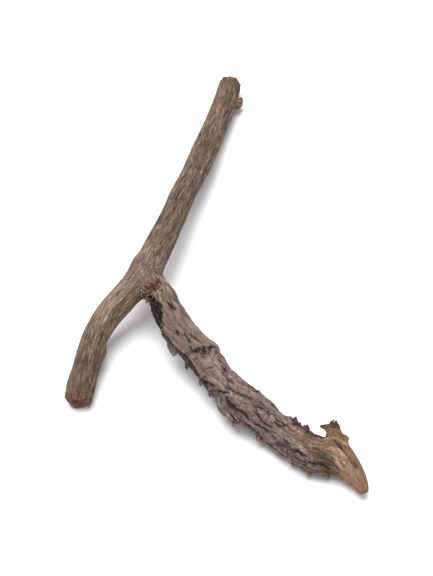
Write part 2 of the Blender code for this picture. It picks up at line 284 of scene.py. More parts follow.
# The lip that the bark curls up to before its end, and the ledge across the upper face
LIP_HEIGHT = 0.35
LIP_SETBACK = 1.2
LIP_REACH = 1.6
LEDGE_AT = 27.4
LEDGE_TURN = 10
LEDGE_REACH = 70  # degrees
LEDGE_RUN = 8.0
LEDGE_HEIGHT = 0.45
SIDE_MARKS = (
    (27.2, -66, 1.7, 34, 0.6),  # corner of the ledge
    (36.4, 92, 1.3, 40, -1.0),  # notch
    (40.0, 110, 3.0, 46, 0.7),  # shelf below it
    (66.8, -22, 3.0, 9, -0.5),  # crease in the wedge
    (66.0, -52, 4.0, 18, 0.45),  # strip beside it
    (28.0, 20, 0.8, 11, -0.5),  # hollow under the ledge
)
# The scar hollow under the crotch: along, and the turn at which the bark breaks off above it
SCAR_EDGE = (
    (4.0, 70), (7.0, 55), (9.8, 40), (12.0, 27), (13.8, 21),
    (15.0, 26), (15.8, 42), (16.4, 64), (17.4, 92),
)
SCAR_END = 17.6
SCAR_DEPTH = 1.0
SIDE_CRACKS = (
    (0.5, 0.8, (26.4, 30), (26.6, 18), (26.9, 8)),
    (0.4, 0.7, (26.7, 13), (27.5, 4), (27.0, -2), (27.6, -10)),
    (0.42, 0.7, (27.3, -6), (27.9, -14), (27.6, -24), (28.4, -36)),
    (0.32, 0.65, (13.0, -4), (14.4, -9), (15.8, -14)),
    (0.14, 0.2, (17.5, 10), (19.8, 8), (21.6, 2), (24.0, -2)),
    (0.3, 0.55, (20.0, 34), (21.2, 38)),
    (0.15, 0.26, (18.5, 48), (20.2, 42)),
    (0.17, 0.42, (16.2, 56), (17.2, 40)),
    (0.15, 0.35, (21.0, 14), (22.8, 22), (24.2, 22)),
    (0.13, 0.3, (22.4, 6), (24.2, 0), (25.5, -6)),
    (0.18, 0.42, (25.0, 34), (27.0, 40)),
    (0.18, 0.26, (31.0, 46), (31.2, 34), (31.8, 18)),
    (0.38, 0.59, (30.8, -24), (31.8, -20)),
    (0.21, 0.51, (33.0, -18), (35.2, -22)),
    (0.34, 0.51, (32.0, 98), (33.8, 64), (35.2, 54)),
    (0.21, 0.38, (35.2, 62), (36.0, 64), (38.2, 32), (39.5, 34)),
    (0.24, 0.34, (16.8, 77), (20.0, 76), (21.8, 80), (23.8, 73), (27.5, 72), (29.8, 80), (32.0, 88)),
    (0.3, 0.51, (38.8, 46), (40.0, 60), (41.5, 56), (43.0, 52), (45.2, 54)),
    (0.18, 0.34, (37.5, 20), (40.2, 10), (42.0, 2)),
    (0.2, 0.38, (42.0, 0), (44.5, 12), (46.2, -4), (48.2, 4)),
    (0.21, 0.42, (44.5, -12), (47.2, -14), (50.2, 2), (53.0, -2)),
    (0.18, 0.34, (45.0, 26), (48.5, 38), (51.0, 28)),
    (0.23, 0.42, (50.0, 10), (51.5, 14), (52.5, 6)),
    (0.21, 0.42, (43.5, 56), (46.8, 60), (48.8, 52), (51.2, 54)),
    (0.2, 0.45, (51.2, 54), (53.2, 68), (55.5, 60), (57.8, 48)),
    (0.2, 0.34, (53.8, 40), (55.2, 40)),
    (0.17, 0.42, (57.0, 44), (58.4, 52), (59.5, 50)),
    (0.15, 0.38, (56.2, 62), (57.8, 72), (59.2, 70), (60.4, 60)),
    (0.12, 0.3, (59.0, 28), (60.5, 12), (61.8, 24)),
    (0.23, 0.42, (60.5, 66), (61.5, 66), (64.2, 82)),
    (0.3, 0.51, (41.2, 84), (43.0, 96), (45.8, 86), (48.0, 100), (49.2, 104)),
    (0.18, 0.34, (36.8, -56), (40.0, -48), (42.5, -56)),
    (0.3, 0.55, (63.2, -42), (63.8, -34), (64.8, -18), (66.2, -15), (67.4, -17), (68.6, -24), (70.0, -34)),
)
CRACK_RADIUS = 3.7  # at which a turn becomes mm over the skin
GROOVE_TURN = 74  # of the groove along the flank, below which the bark is redder, and darker by painted shade


def past_bark(along, around):
    """How far past the slanting, jagged end of the bark a place is."""
    return along - by_turn(around, BARK_END) + 0.7 * lattice(along, around, 71, 2.0, 14)


def bare_wood(along, around):
    """0 before the slanting start of the bare wood, 1 past it, and between them a jagged change over 3 mm."""
    return ease((along - by_turn(around, WOOD_START) - 0.9 * lattice(along, around, 77, 3, 12)) / 3 + 0.5)


def flank_turn(around):
    """Each place's turn in degrees from -120 to 240, which goes on without a jump under the root."""
    return turned(around, 60) + 60


def scar(along, around):
    """1 inside the scar hollow, 0 outside: past the turn of its edge, and short of the root's underside."""
    ats, turns = zip(*SCAR_EDGE)
    jag = 6 * lattice(along, around, 72, 0.9, 16)
    turn = flank_turn(around)
    inside = ease((turn - np.interp(along, ats, turns) + jag) / 7) * ease((165 - turn) / 22)
    return inside * ease((SCAR_END - along) / 0.6) * ease((along - 4) / 3)


def crotch_scar(along, around):
    """1 on the scabby patch of torn tissue where the side root grew out, 0 away from it."""
    jag = 0.8 * lattice(along, around, 84, 1.2, 20)
    ahead = ease((9.4 - along + jag) / 1.2) * ease((along - 5.6 + jag) / 1.2)
    return ahead * ease((58 - np.abs(turned(around, 32))) / 16)


def ledge(along, around):
    """The step across the upper face: the bark eases up to a slanting, ragged line and drops behind it."""
    slant = LEDGE_AT - 0.05 * turned(around, LEDGE_TURN) + 0.35 * lattice(along, around, 73, 3, 22)
    beyond = (along - slant) / LEDGE_RUN
    step = np.where(beyond < 0, ease(beyond + 1), ease(beyond) - 1)
    return LEDGE_HEIGHT * step * spot(0 * along, around, 0, LEDGE_TURN, 1, LEDGE_REACH)


def side_skin(along, around):
    """Height, darkness and cracks of the side root's skin.

    Bark plates of three sizes stand at random levels, rougher further along. The bark rises to a ledge and
    drops behind it, curls up at its slanting end, and is cut by the cracks in the table and by furrows.
    """
    here = (along, around)
    rough = ease((along - 20) / 14)
    past = past_bark(*here)
    barked = 1 - ease(past / 0.7)
    wander = around + 0.15 * lattice(*here, 21, 9, 4)
    level, edge, _ = plates(along, wander, 22, 7, 8)
    crack = bell(edge, 0.14)
    under = 1 - ease((np.cos(around - 0.5) + 0.1) / 0.5)
    bark = (0.14 + 0.16 * rough) * level - (0.15 + 0.2 * rough) * crack * (0.3 + 0.7 * under)
    chip, edge, _ = plates(along, wander + 0.05 * lattice(*here, 27, 2, 20), 24, 2.8, 15)
    chip_crack = bell(edge, 0.12) * (lattice(*here, 28, 4, 9) > -0.1)
    bit, edge, _ = plates(along, wander + 0.04 * lattice(*here, 78, 1.2, 30), 79, 1.3, 30)
    bit_crack = bell(edge, 0.14) * (lattice(*here, 80, 3, 9) > 0)
    bark += np.maximum(rough, 0.4) * (0.1 * chip - 0.16 * chip_crack + 0.05 * bit - 0.07 * bit_crack)
    grain = 0.12 * np.cos(RIBS * around + 0.1 * along) - 0.15
    height = 0.18 * lattice(*here, 23, 7, 5) + barked * bark + (1 - barked) * grain + marks(*here, SIDE_MARKS)
    height += ledge(*here)
    height += LIP_HEIGHT * bell(past + LIP_SETBACK, LIP_REACH)

    ragged = 0.16 * lattice(*here, 74, 0.6, 60) + 0.14 * lattice(*here, 75, 1.7, 24)
    cut, cut_dark, stain = cuts(*here, CRACK_RADIUS, SIDE_CRACKS, ragged)
    scaly, edge, _ = plates(*here, 76, 1.5, 18)
    height -= cut + scar(*here) * (SCAR_DEPTH + 0.25 * scaly - 0.25 * bell(edge, 0.2))
    wood = bare_wood(*here)
    torn = (1 - barked) * (1 - 0.5 * wood)
    fine = furrows(along, wander, 25, 3.5, 40, 0.4)
    long = furrows(along, wander, 26, 6, 22, 0.2) * (lattice(*here, 29, 5, 7) > 0)
    strands = furrows(along, wander, 30, 5, 26, 0.3)
    height -= barked * (0.05 * fine + 0.14 * long) + (1 - barked) * 0.06 * fine + torn * 0.22 * strands
    height += wood * 0.16 * lattice(*here, 85, 2.5, 16)
    smooth = np.maximum(ease((20 - along) / 8), 0.7 * ease((27.5 - along) / 3))
    ridges = wrinkles(along, wander, 86, 5, 20, 0.02, 0.22) * smooth
    height -= 0.22 * ridges
    scraps, edge, _ = plates(*here, 83, 1.0, 24)
    scabby = crotch_scar(*here)
    height += scabby * (0.3 * scraps - 0.25 * bell(edge, 0.2))

    # Darker in and beside cracks, furrows and strands: partly their own colour and partly painted shade in
    # them
    dark = 0.42 * barked * rough * np.maximum(crack * under, chip_crack) + 0.25 * (0.3 + 0.7 * rough) * fine
    dark += 0.45 * barked * long + 0.5 * torn * strands + 0.36 * barked * rough * bit_crack
    # Painted shade: the lower flank below the groove is darkened, as it lies in shade
    shaded_flank = ease((flank_turn(around) - GROOVE_TURN) / 9) * ease((along - 21) / 4) * ease((37 - along) / 3)
    dark += 0.6 * shaded_flank + 0.2 * spot(*here, 20.5, 10, 5, 90)
    dark += 0.8 * scabby * bell(edge, 0.25) + 0.6 * ridges + 0.32 * stain * rough
    return height, np.clip(dark, 0, 1), cut_dark


class Limb:
    """One limb along its own axis: `along` in mm from its start, `around` in radians from its top."""

    def __init__(self, axis, skin, wedge_from=None):
        points = np.array(axis)
        gaps = np.linalg.norm(np.diff(points[:, :3], axis=0), axis=1)
        knots = np.concatenate([[0], np.cumsum(gaps)])
        slopes = np.gradient(points, knots, axis=0)
        self.along = np.linspace(0, knots[-1], int(knots[-1] / AXIS_GAP))
        low = np.clip(np.searchsorted(knots, self.along, "right") - 1, 0, len(gaps) - 1)
        span = gaps[low][:, None]
        t = (self.along - knots[low])[:, None] / span
        read = (1 + 2 * t) * (1 - t) ** 2 * points[low] + t * (1 - t) ** 2 * span * slopes[low]
        read += t * t * (3 - 2 * t) * points[low + 1] + t * t * (t - 1) * span * slopes[low + 1]
        self.centre = read[:, :3]
        self.radius = read[:, 3]
        self.forward = self.unit(np.gradient(self.centre, axis=0))
        self.up = self.unit([0, 0, 1] - self.forward * self.forward[:, 2:])
        self.across = np.cross(self.forward, self.up)
        self.skin = skin
        self.wedge_from = wedge_from
        self.length = self.along[-1]

    @staticmethod
    def unit(rows):
        return rows / np.linalg.norm(rows, axis=-1, keepdims=True)

    def read(self, values, along):
        """The axis's own values at these places."""
        return np.stack([np.interp(along, self.along, column) for column in values.T], axis=-1)

    def flatness(self, along):
        """Height over width of the section: round, but for the wedge."""
        if self.wedge_from is None:
            return np.ones_like(along)
        return 1 - (1 - WEDGE_FLATNESS) * ease((along - self.wedge_from) / (self.length - self.wedge_from))

    def surface(self, along, around, lift=0.0, share=1.0):
        """The points at these places: out from the axis by half width, relief and `lift`, times `share`."""
        inside = np.clip(along, 0, self.length)
        past = (along - inside)[..., None] * self.read(self.forward, inside)
        reach = np.interp(inside, self.along, self.radius) + self.skin(along, around)[0] + lift
        reach = (reach * share)[..., None]
        flat = self.flatness(inside)[..., None]
        rise = np.cos(around)[..., None] * flat * self.read(self.up, inside)
        swing = np.sin(around)[..., None] * self.read(self.across, inside)
        return self.read(self.centre, inside) + past + reach * (rise + swing)

    def locate(self, points):
        """Where each point lies: along, around, distance off the skin, share of the way out, way out."""
        blocks = np.array_split(points, len(points) // 4000 + 1)
        nearest = np.concatenate(
            [np.linalg.norm(block[:, None] - self.centre[None], axis=2).argmin(axis=1) for block in blocks]
        )
        out = points - self.centre[nearest]
        past = (out * self.forward[nearest]).sum(axis=1)
        along = np.clip(self.along[nearest] + past, 0, self.length)
        out = out - (along - self.along[nearest])[:, None] * self.forward[nearest]
        over = (out * self.forward[nearest]).sum(axis=1)
        rise = (out * self.up[nearest]).sum(axis=1) / self.flatness(along)
        swing = (out * self.across[nearest]).sum(axis=1)
        around = np.arctan2(swing, rise)
        reach = np.sqrt(rise**2 + swing**2 + over**2)
        full = np.interp(along, self.along, self.radius) + self.skin(along, around)[0]
        return along, around, reach - full, reach / full, self.unit(out)


# Shares of the half width at which a broken end's rings lie, and over which its rim rounds off
CAP_SHARES = np.array([0.1, 0.22, 0.34, 0.45, 0.55, 0.64, 0.72, 0.79, 0.85, 0.9, 0.94, 0.97, 0.99])
RIM = 0.3
SHORTEST_EDGE = 0.09  # left at the fork
RELAXINGS = 4  # of the fork's points
SETTLINGS = 3  # of them on the skin, after each


def mesh_object(name, points, faces):
    """An object from points in mm, none of them under the floor, and from faces as rows of corner numbers."""
    mesh = bpy.data.meshes.new(name)
    points = np.maximum(points, (-np.inf, -np.inf, 0))
    mesh.from_pydata((points * MM).tolist(), [], faces)
    mesh.shade_smooth()
    made = bpy.data.objects.new(name, mesh)
    bpy.context.scene.collection.objects.link(made)
    return made


def rings_of(rings, sides):
    """The numbers of a tube's points by ring, each point's next one round, and the quads between rings."""
    number = np.arange(rings * sides).reshape(rings, sides)
    after = np.roll(number, -1, axis=1)
    quads = np.stack([number[:-1], after[:-1], after[1:], number[1:]], axis=-1)
    return number, after, quads.reshape(-1, 4)


def limb_object(name, limb, gap, sides, blunt, tear, seed):
    """A limb's skin as rings along it, then rings that shrink to a pole at each end.

    The rim of an end is a quarter circle, `blunt` mm long. Inside it the wood is torn: the rings move to and
    fro along the limb by random relief of turn and share, `tear` mm high.
    """
    middle = np.linspace(blunt, limb.length - blunt, int((limb.length - 2 * blunt) / gap))
    inward = np.clip((1 - CAP_SHARES) / RIM, 0, 1)
    bulge = np.sqrt(inward * (2 - inward))
    share = np.concatenate([CAP_SHARES, np.ones_like(middle), CAP_SHARES[::-1]])[:, None]
    along = np.concatenate([blunt * (1 - bulge), middle, limb.length - blunt * (1 - bulge[::-1])])[:, None]
    torn = np.concatenate([bulge, 0 * middle, bulge[::-1]])[:, None]
    around = np.linspace(0, TURN, sides, endpoint=False)[None, :] + 0 * along
    ragged = 0.6 * lattice(share * 3 + 0 * around, around, seed, 1, 7)
    ragged = ragged + 0.4 * lattice(share * 9 + 0 * around, around, seed + 1, 1, 26)
    places = limb.surface(along + tear * torn * ragged, around, share=share)
    poles = np.stack([places[0].mean(axis=0), places[-1].mean(axis=0)])
    number, after, quads = rings_of(len(places), sides)
    pole = 0 * number[0] + number.size
    start = np.stack([pole, after[0], number[0]], axis=-1)
    end = np.stack([pole + 1, number[-1], after[-1]], axis=-1)
    points = np.concatenate([places.reshape(-1, 3), poles])
    return mesh_object(name, points, quads.tolist() + start.tolist() + end.tolist())


def points_of(mesh):
    """A mesh's points in mm."""
    flat = np.empty(3 * len(mesh.vertices))
    mesh.vertices.foreach_get("co", flat)
    return flat.reshape(-1, 3) / MM


def join(base, other):
    """The union of two closed meshes, kept in the first."""
    union = base.modifiers.new("union", "BOOLEAN")
    union.operation = "UNION"
    union.object = other
    union.solver = "MANIFOLD"
    mesh = bpy.data.meshes.new_from_object(base.evaluated_get(bpy.context.evaluated_depsgraph_get()))
    base.modifiers.remove(union)
    base.data = mesh
    bpy.data.objects.remove(other)


def fork_step(points, main, side):
    """The step from each point to the blended skin, where the two distances' smooth minimum is nil."""
    _, _, off_main, _, out_main = main.locate(points)
    _, _, off_side, _, out_side = side.locate(points)
    share = np.clip(0.5 + 0.5 * (off_side - off_main) / FORK_BLEND, 0, 1)
    off = off_main * share + off_side * (1 - share) - FORK_BLEND * share * (1 - share)
    slope = out_main * share[:, None] + out_side * (1 - share)[:, None]
    steep = np.maximum((slope**2).sum(axis=1), 0.3)
    return (off / steep)[:, None] * slope


def blend_fork(root, main, side):
    """Rounds the fork: points near both limbs are relaxed towards their neighbours, then put on the skin."""
    work = bmesh.new()
    work.from_mesh(root.data)
    points = np.array([vert.co for vert in work.verts]) / MM
    close = np.abs(main.locate(points)[2] - side.locate(points)[2]) < FORK_BLEND
    near = [vert for vert, is_near in zip(work.verts, close) if is_near]
    short = {edge for vert in near for edge in vert.link_edges if edge.calc_length() < SHORTEST_EDGE * MM}
    bmesh.ops.dissolve_degenerate(work, dist=SHORTEST_EDGE * MM, edges=list(short))
    near = [vert for vert in near if vert.is_valid]
    bmesh.ops.triangulate(work, faces=list({face for vert in near for face in vert.link_faces}))
    for _ in range(RELAXINGS):
        bmesh.ops.smooth_vert(work, verts=near, factor=0.5, use_axis_x=True, use_axis_y=True, use_axis_z=True)
        points = np.array([vert.co for vert in near]) / MM
        for _ in range(SETTLINGS):
            points -= fork_step(points, main, side)
        for vert, point in zip(near, points * MM):
            vert.co = point
    work.to_mesh(root.data)
    work.free()


main_root = Limb(MAIN_AXIS, main_skin)
side_root = Limb(SIDE_AXIS, side_skin, wedge_from=WEDGE_START)
root = limb_object("root_skin", main_root, gap=0.32, sides=128, blunt=1.1, tear=0.8, seed=31)
join(root, limb_object("side", side_root, gap=0.27, sides=144, blunt=0.7, tear=0.3, seed=33))
blend_fork(root, main_root, side_root)
points = points_of(root.data)
points[:, 2] = np.maximum(points[:, 2], 0)  # the blend may have pushed some under the floor
root.data.vertices.foreach_set("co", (points * MM).ravel())
root.data.update()

*on_main_root, off_main, main_share, _ = main_root.locate(points)
*on_side_root, off_side, side_share, _ = side_root.locate(points)
side_along, side_around = on_side_root
on_side = np.clip(0.5 + 0.5 * (off_main - off_side) / FORK_BLEND, 0, 1)
gone = ease(past_bark(*on_side_root) / 0.8 + 0.5)
bare = bare_wood(*on_side_root)
side_turn = turned(side_around, 0)
patch = ease((30 - side_turn) / 16) * ease((side_turn + 100) / 14)  # on top, where the bark came off whole
_, main_dark, main_crack = main_skin(*on_main_root)
_, side_dark, side_crack = side_skin(*on_side_root)
ends = 1 - ease((main_share - 0.84) / 0.08)
GRAIN_RADIUS = 3.6  # of the circle that the grain runs on


def grain_vector(along, around, radius, start):
    """A place in mm that has no seam round the limb: its circle across, and its distance along."""
    return np.stack([radius * np.cos(around), radius * np.sin(around), along + start], axis=-1)


def under_bark_and_shade(along, around):
    """1 below the groove along the side root's flank, where an older, redder bark shows and where painted
    shade darkens the flank.
    """
    jag = 8 * lattice(along, around, 82, 1.5, 16)
    turn = flank_turn(around)
    below = ease((turn - GROOVE_TURN + 0.5 * jag) / 6) * ease((178 - turn) / 30)
    return below * ease((along - 14) / 3) * ease((35 - along) / 4)


# Orange-brown places on the main root, where its outer skin wore off: along, turn, reach both ways, share
OCHRE_PLACES = (
    (93.8, -48, 2.0, 14, 0.9),
    (84.0, -34, 4.5, 26, 0.7),
    (98.5, 6, 2.6, 12, 0.6),
    (103.5, -4, 1.2, 10, 0.6),
    (108.2, -18, 2.4, 14, 0.8),
    (58.0, 60, 4.0, 20, 0.6),
    (30.0, -20, 5.0, 14, 0.5),
    (12.0, 20, 4.0, 16, 0.5),
    (87.0, 150, 5.0, 24, 0.6),
    (106.0, 60, 5.0, 30, 0.5),
    (102.0, -20, 8.0, 120, 0.5),
)
worn = np.clip(marks(*on_main_root, OCHRE_PLACES), 0, 1)
painted_light = spot(*on_main_root, 85.5, -10, 8, 100)  # painted light: a lighter place below the fork, where the skin turns away from the lamp
# Redder bark on the lower flank, darkened as painted shade, and painted shade in the hollow under the ledge
rust_and_shade_share = np.maximum(under_bark_and_shade(*on_side_root), 0.9 * spot(*on_side_root, 28.2, 18, 0.9, 13))
pale = np.maximum(spot(*on_side_root, 66.2, 22, 4.2, 34), 0.45 * spot(*on_side_root, 67, -56, 3.6, 16))
mix_side = ease(3 * (on_side - 0.5) + 0.5)[:, None]
layers = {
    "on_side": on_side,
    # Below the fork the darkness is lessened, as painted light
    "dark": (1 - on_side) * main_dark * (1 - 0.75 * painted_light) + on_side * side_dark,
    "crack": (1 - on_side) * main_crack + on_side * side_crack,
    "wood": np.maximum(on_side * bare, (1 - on_side) * ends),
    "fibrous": on_side * gone * (1 - patch),
    "patch": on_side * gone * patch,
    "scar": on_side * scar(*on_side_root),
    "rust_and_shade": on_side * rust_and_shade_share,
    "pale": on_side * bare * pale,
    "young": on_side * ease((20 - side_along) / 9),
    "scab": on_side * crotch_scar(*on_side_root),
    "smooth": on_side * (1 - ease((side_along - 22) / 14)),
    "ochre": (1 - on_side) * worn,
    "painted_light": (1 - on_side) * painted_light,
}
grain = (1 - mix_side) * grain_vector(*on_main_root, MAIN_HALF * np.minimum(main_share, 1), 0)
grain += mix_side * grain_vector(*on_side_root, GRAIN_RADIUS * np.minimum(side_share, 1), FORK_ALONG)


def set_layers(piece, grain, layers):
    """Keeps each point's place in the grain, and its share of each layer, for the material to read."""
    kept = piece.data.attributes.new("grain", "FLOAT_VECTOR", "POINT")
    kept.data.foreach_set("vector", grain.astype(np.float32).ravel())
    for name, values in layers.items():
        kept = piece.data.attributes.new(name, "FLOAT", "POINT")
        kept.data.foreach_set("value", values.astype(np.float32).ravel())


set_layers(root, grain, layers)


def linear(red, green, blue):
    """A colour as the eye reads it, from 0 to 255, turned to the light it sends back."""
    seen = np.array([red, green, blue]) / 255
    return (*np.where(seen < 0.04045, seen / 12.92, ((seen + 0.055) / 1.055) ** 2.4), 1)


class Paint:
    """A material in the making: the nodes of its pattern, and the shader that they feed."""

    def __init__(self, name):
        self.material = bpy.data.materials.new(name)
        self.material.use_nodes = True
        self.tree = self.material.node_tree
        self.shader = self.tree.nodes["Principled BSDF"]
        self.shader.inputs["Specular IOR Level"].default_value = 0.3

    def node(self, kind, sockets, **settings):
        """One shader node: its settings, then its sockets by name or number, each a value or an output."""
        made = self.tree.nodes.new(kind)
        for name, value in settings.items():
            setattr(made, name, value)
        for key, value in sockets.items():
            if isinstance(value, bpy.types.NodeSocket):
                self.tree.links.new(value, made.inputs[key])
            else:
                made.inputs[key].default_value = value
        return made

    def spread(self, value, low, high, to=(0, 1)):
        """A value eased from one range to another."""
        sockets = {"Value": value, "From Min": low, "From Max": high, "To Min": to[0], "To Max": to[1]}
        return self.node("ShaderNodeMapRange", sockets, interpolation_type="SMOOTHSTEP").outputs[0]

    def times(self, first, second, operation="MULTIPLY"):
        """Two values multiplied, or joined by another operation."""
        return self.node("ShaderNodeMath", {0: first, 1: second}, operation=operation).outputs[0]

    def plus(self, first, second):
        return self.times(first, second, "ADD")

    def over(self, under, share, above):
        """One colour laid over another by a share. Each is a node's output, or red, green and blue."""
        under, above = (linear(*paint) if isinstance(paint, tuple) else paint for paint in (under, above))
        return self.node("ShaderNodeMix", {0: share, 6: under, 7: above}, data_type="RGBA").outputs[2]

    def coats(self, base, *above):
        """A colour with others laid over it in turn, each by its share."""
        for share, colour in above:
            base = self.over(base, share, colour)
        return base

    def tone(self, value, low, high, colours):
        """From a dark colour to a light one as a value goes from low to high."""
        return self.over(colours[0], self.spread(value, low, high), colours[1])

    def layer(self, name, output="Fac"):
        """What each point of the piece keeps under a name."""
        return self.node("ShaderNodeAttribute", {}, attribute_name=name).outputs[output]

    def noise(self, place, scale, stretch, detail=3.0, rough=0.55):
        """Random grey: `scale` changes a mm across the grain, and `stretch` times fewer along it."""
        sizes = (scale, scale, scale / stretch)
        scaled = self.node("ShaderNodeVectorMath", {0: place, 1: sizes}, operation="MULTIPLY").outputs[0]
        sockets = {"Vector": scaled, "Scale": 1.0, "Detail": detail, "Roughness": rough}
        return self.node("ShaderNodeTexNoise", sockets).outputs["Fac"]

    def feed(self, socket, value):
        self.tree.links.new(value, self.shader.inputs[socket])

    def emboss(self, height, strength, distance):
        """Low relief in the finish, `distance` mm high."""
        sockets = {"Strength": strength, "Distance": distance * MM, "Height": height}
        self.feed("Normal", self.node("ShaderNodeBump", sockets).outputs[0])


# Each finish from dark to light, as the eye reads it, from 0 to 255
MAIN_BARK = (67, 50, 39), (167, 144, 122)
# A lighter copy of the main bark, laid below the fork as painted light
PAINTED_LIGHT_BARK = (84, 68, 56), (192, 172, 150)
OCHRE_BARK = (86, 62, 47), (154, 125, 101)
SMOOTH_BARK = (118, 99, 90), (152, 134, 124)
ROUGH_BARK = (108, 88, 80), (166, 148, 138)
YOUNG_BARK = (86, 67, 54), (166, 146, 127)
# The redder bark below the flank's groove, darkened as painted shade of the flank
UNDER_BARK_AND_SHADE = (58, 40, 35), (110, 84, 75)
BARE_PATCH = (96, 72, 56), (160, 132, 112)
FIBRES = (66, 50, 41), (136, 115, 98)
WOOD = (112, 76, 58), (184, 148, 118)
PALE_WOOD = (138, 116, 92), (196, 174, 146)
TORN_TISSUE = (64, 42, 34), (128, 97, 80)
# The scar hollow under the crotch: near black with paler flecks, partly its own dark tissue and partly
# painted shade
SHADED_SCAR = (26, 21, 19), (96, 80, 66)
BARK_CRACK = (46, 31, 27)
WOOD_CRACK = (72, 45, 34)
TWIST = 0.045  # radians a mm, of the streaks round the limb


def bark_material():
    """Dry bark: two barks, bare wood, patch and scar, mixed by the skin's layers, streaked along the grain.

    Streaks run a little to the left and to the right of the grain. Where the two kinds change side, thin
    dark lines cross them. A layer's own share plus a streak decides where it shows, so its border is fibrous.
    """
    paint = Paint("dry bark")
    layer, noise, coats = paint.layer, paint.noise, paint.coats
    spread, times, plus, tone = paint.spread, paint.times, paint.plus, paint.tone
    place = layer("grain", "Vector")
    height = paint.node("ShaderNodeSeparateXYZ", {0: place}).outputs[2]

    def streaked(twist):
        """Streaks that turn round the limb's axis by so many radians a mm along it."""
        sockets = {"Vector": place, "Angle": times(height, twist)}
        twisted = paint.node("ShaderNodeVectorRotate", sockets, rotation_type="Z_AXIS").outputs[0]
        return noise(twisted, 4.2, 10, rough=0.65)

    def off_middle(value):
        return times(times(value, 0.5, "SUBTRACT"), 0, "ABSOLUTE")

    left = streaked(TWIST)
    right = streaked(-TWIST)
    hair = noise(place, 8.0, 20, 2)
    blotch = noise(place, 0.16, 1.6)
    cloud = noise(place, 0.42, 2.2)
    speck = noise(place, 2.4, 1.4, rough=0.7)
    grime = noise(place, 1.5, 2.6, 4, 0.75)
    lines = spread(times(off_middle(left), off_middle(right), "MINIMUM"), 0.0, 0.028, (1, 0))
    streaks = plus(times(left, 0.34), times(right, 0.34))
    streaks = plus(streaks, times(hair, 0.32))
    crumbly = plus(times(streaks, 0.5), times(speck, 0.5))

    def shows(name):
        """A layer's share after the streaks have frayed its border."""
        return spread(plus(layer(name), times(streaks, 1.4)), 1.05, 1.35)

    main_bark = coats(
        tone(streaks, 0.42, 0.57, MAIN_BARK),
        (spread(blotch, 0.42, 0.62, (0, 0.45)), (108, 92, 70)),
        (spread(cloud, 0.5, 0.68, (0, 0.35)), (112, 84, 70)),
        # Painted light: the lighter bark below the fork
        (times(layer("painted_light"), 0.8), tone(streaks, 0.42, 0.57, PAINTED_LIGHT_BARK)),
        (times(layer("ochre"), 0.8), tone(streaks, 0.42, 0.58, OCHRE_BARK)),
        (times(lines, 0.8), (52, 38, 32)),
    )
    side_bark = coats(
        tone(crumbly, 0.4, 0.6, ROUGH_BARK),
        (spread(grime, 0.55, 0.63, (0, 0.75)), (70, 52, 50)),
        (layer("smooth"), tone(crumbly, 0.4, 0.6, SMOOTH_BARK)),
        (spread(cloud, 0.5, 0.7, (0, 0.5)), (116, 92, 82)),
        (times(lines, 0.3), (70, 54, 48)),
        (times(layer("young"), 0.9), tone(streaks, 0.42, 0.57, YOUNG_BARK)),
    )
    wood = coats(
        tone(streaks, 0.4, 0.58, WOOD),
        (spread(cloud, 0.45, 0.6, (0, 0.5)), (152, 106, 80)),
        (layer("pale"), tone(crumbly, 0.4, 0.6, PALE_WOOD)),
        (spread(grime, 0.52, 0.6, (0, 0.75)), (104, 66, 50)),
        (times(lines, 0.5), (72, 46, 36)),
    )
    cracked = plus(layer("crack"), times(crumbly, 0.9))
    colour = coats(
        main_bark,
        (layer("on_side"), side_bark),
        # Painted shade and redder bark: the lower flank and the hollow under the ledge
        (times(layer("rust_and_shade"), 0.9), tone(crumbly, 0.4, 0.6, UNDER_BARK_AND_SHADE)),
        (shows("patch"), tone(crumbly, 0.4, 0.58, BARE_PATCH)),
        (shows("fibrous"), tone(streaks, 0.41, 0.58, FIBRES)),
        (shows("wood"), wood),
        (layer("scab"), tone(crumbly, 0.4, 0.58, TORN_TISSUE)),
        # The scar hollow, near black: its own dark tissue and painted shade
        (layer("scar"), tone(crumbly, 0.5, 0.62, SHADED_SCAR)),
        (times(layer("dark"), 0.85), (46, 32, 28)),
        (spread(cracked, 0.72, 0.98, (0, 0.92)), coats(BARK_CRACK, (shows("wood"), WOOD_CRACK))),
    )
    paint.feed("Base Color", colour)

    paint.feed("Roughness", spread(streaks, 0.35, 0.65, (0.72, 0.92)))
    grit = noise(place, 4.5, 3.5, rough=0.65)
    relief = plus(times(streaks, 0.8), times(grit, 0.5))
    paint.emboss(times(relief, times(lines, 0.25), "SUBTRACT"), 0.8, 0.14)
    return paint.material


def finish(piece, material):
    """Gives a piece its one material, and has it ride with the root."""
    piece.data.materials.clear()
    piece.data.materials.append(material)
    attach(piece, "root")


bark = bark_material()
root.data.shade_smooth()
finish(root, bark)
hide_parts("madder_root")

# Loose flakes of bark. Old bark dries into scales that stay fixed at one end and lift at the other. The big
# ones stand out from the side root's flanks. Small ones, by a seeded draw, lie along its cracked part.
BIG_THICKNESS = 0.85
FLAKE_SUNK = 0.5
# Along, turn, length, width, lift, and heading in degrees from straight along
BIG_FLAKES = (
    (20.2, 82, 3.2, 4.4, 1.4, 62),
    (24.6, 92, 2.6, 3.0, 0.7, 30),
    (29.4, 98, 3.0, 3.0, 0.6, 0),
    (38.5, 112, 4.0, 3.6, 0.8, 0),
    (46.6, 110, 2.4, 2.6, 0.6, 0),
    (54.9, 124, 2.4, 2.6, 0.8, 0),
    (58.0, 127, 2.4, 2.6, 0.8, 0),
    (62.6, 125, 2.4, 2.8, 1.0, 0),
    (33.4, 104, 2.0, 2.2, 0.6, 20),
    (42.6, 96, 2.4, 2.4, 0.5, 10),
)


